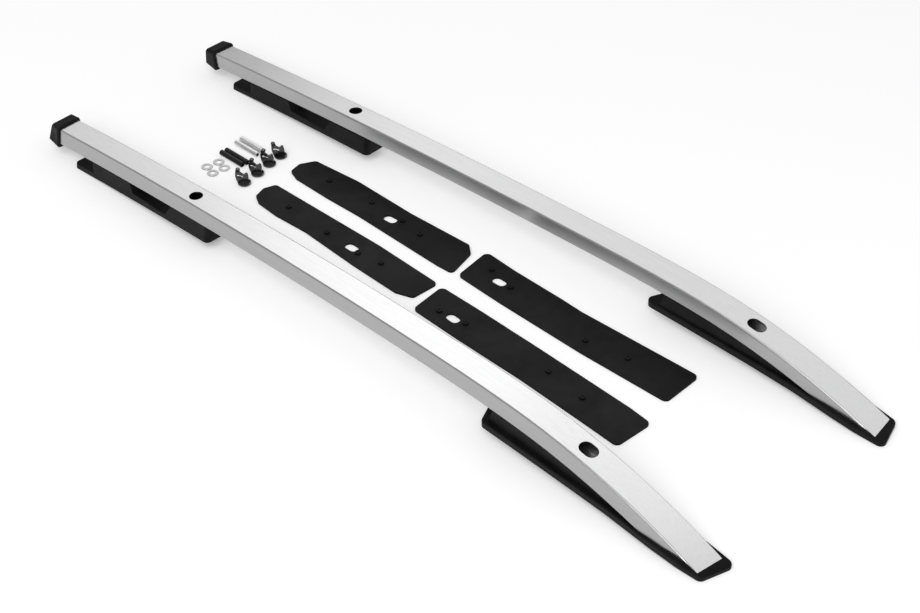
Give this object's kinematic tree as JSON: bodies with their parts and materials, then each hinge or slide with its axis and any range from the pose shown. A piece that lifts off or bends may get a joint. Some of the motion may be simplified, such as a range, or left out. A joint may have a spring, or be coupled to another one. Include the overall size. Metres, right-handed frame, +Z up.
{
  "type": "roof side rail pair",
  "caption": "Pair of long swept silver roof side rails on black feet, laid out with rubber pads, washers, sleeves and plugs.",
  "frame": {"origin": "floor level, centre of the bounding box of the laid-out set", "axes": "+X along the rails to their swept nose, +Y from the right rail to the left rail, +Z up"},
  "size_m": [1.22, 0.3726, 0.076],
  "materials": {
    "satin_aluminium": "satin anodised silver",
    "black_plastic": "fine grained, satin",
    "black_rubber": "matte moulded",
    "zinc_steel": "bright zinc plate",
    "black_steel": "black coat, lightly streaked",
    "gloss_black_plastic": "moulded, semi gloss"
  },
  "bodies": {
    "root": {"right_rail": "satin_aluminium", "right_end_cap": "black_plastic", "right_rear_foot": "black_plastic", "right_front_foot": "black_plastic", "right_short_pad": "black_rubber", "right_long_pad": "black_rubber", "left_rail": "satin_aluminium", "left_end_cap": "black_plastic", "left_rear_foot": "black_plastic", "left_front_foot": "black_plastic", "left_short_pad": "black_rubber", "left_long_pad": "black_rubber", "washer_1": "zinc_steel", "washer_2": "zinc_steel", "washer_3": "zinc_steel", "washer_4": "zinc_steel", "black_sleeve_1": "black_steel", "black_sleeve_2": "black_steel", "bright_sleeve_1": "zinc_steel", "bright_sleeve_2": "zinc_steel", "plug_1": "gloss_black_plastic", "plug_2": "gloss_black_plastic", "plug_3": "gloss_black_plastic", "plug_4": "gloss_black_plastic"}
  },
  "joints": []
}
